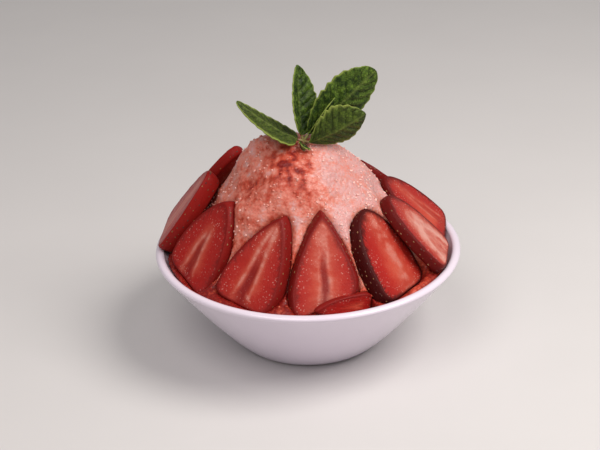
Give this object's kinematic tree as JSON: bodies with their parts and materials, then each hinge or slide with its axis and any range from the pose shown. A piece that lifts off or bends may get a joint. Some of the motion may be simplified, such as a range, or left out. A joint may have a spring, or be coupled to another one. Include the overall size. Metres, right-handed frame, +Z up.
{
  "type": "strawberry shaved ice in a bowl",
  "caption": "Bowl heaped with a mound of pink shaved ice, ringed by upright strawberry slices and topped with a mint sprig.",
  "frame": {"origin": "centre of the bowl's foot, on the surface that the bowl stands on", "axes": "+Z up along the bowl's axis; -Y is the front, which the largest slice faces; +X to the right seen from the front"},
  "size_m": [0.13, 0.13, 0.1215],
  "materials": {
    "white_glazed_porcelain": "glossy white glaze",
    "strawberry_shaved_ice": "coarse wet ice grain",
    "strawberry": "wet cut fruit",
    "mint": "quilted leaf"
  },
  "bodies": {
    "root": {"bowl": "white_glazed_porcelain", "shaved_ice": "strawberry_shaved_ice", "strawberry_front": "strawberry", "strawberry_front_left": "strawberry", "strawberry_left": "strawberry", "strawberry_far_left": "strawberry", "strawberry_front_right": "strawberry", "strawberry_right": "strawberry", "strawberry_far_right": "strawberry", "strawberry_back_right": "strawberry", "strawberry_back_left": "strawberry", "strawberry_rear_right": "strawberry", "strawberry_rear_left": "strawberry", "strawberry_low": "strawberry", "mint_stem": "mint", "mint_leaf_front_right": "mint", "mint_leaf_left": "mint", "mint_leaf_tall_right": "mint", "mint_leaf_upright": "mint", "mint_leaf_young": "mint"}
  },
  "joints": []
}
